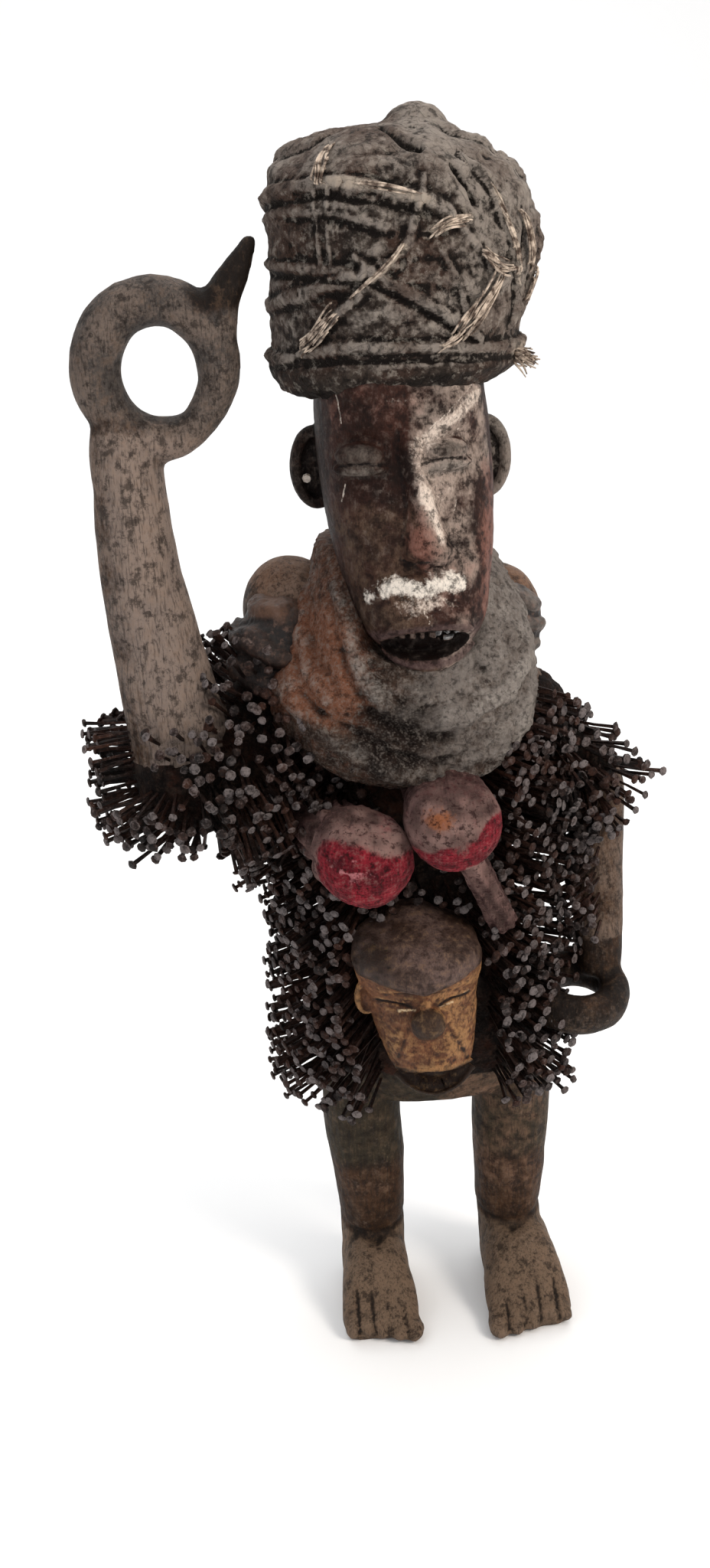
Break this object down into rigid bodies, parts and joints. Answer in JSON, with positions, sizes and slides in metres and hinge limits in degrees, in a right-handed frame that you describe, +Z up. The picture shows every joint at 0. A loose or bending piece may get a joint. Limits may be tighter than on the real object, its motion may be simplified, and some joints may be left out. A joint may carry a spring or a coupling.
{
  "type": "nkisi nkondi figure",
  "caption": "Standing carved wooden power figure with a raised ring fist, bound turban, resin collar, red cloth bundles, a small head on its belly and iron nails.",
  "frame": {"origin": "on the ground under the middle of the outline", "axes": "+Z up, the figure faces -Y, +X is the figure's own left"},
  "size_m": [0.4226, 0.2598, 0.9517],
  "materials": {
    "carved_wood": "dark hand-carved hardwood with worn patina",
    "bound_cord_and_resin": "resin-stiffened cloth bound with plant-fibre cord",
    "resin_and_hide": "dry cracked resin and earth over folded hide",
    "red_cloth": "dusty crimson cloth",
    "small_head_wood": "smooth oiled light wood, dark on the cap",
    "wrought_iron": "dark rusted forged iron",
    "bone": "pale polished bone"
  },
  "bodies": {
    "root": {"carved_figure": "carved_wood", "ear_stud": "bone", "turban": "bound_cord_and_resin", "resin_collar": "resin_and_hide", "shoulder_hide_right": "resin_and_hide", "shoulder_hide_left": "resin_and_hide", "red_bundle_right": "red_cloth", "red_bundle_left": "red_cloth", "belly_head": "small_head_wood", "trunk_nails": "wrought_iron", "right_arm_nails": "wrought_iron", "left_arm_nails": "wrought_iron"}
  },
  "joints": []
}
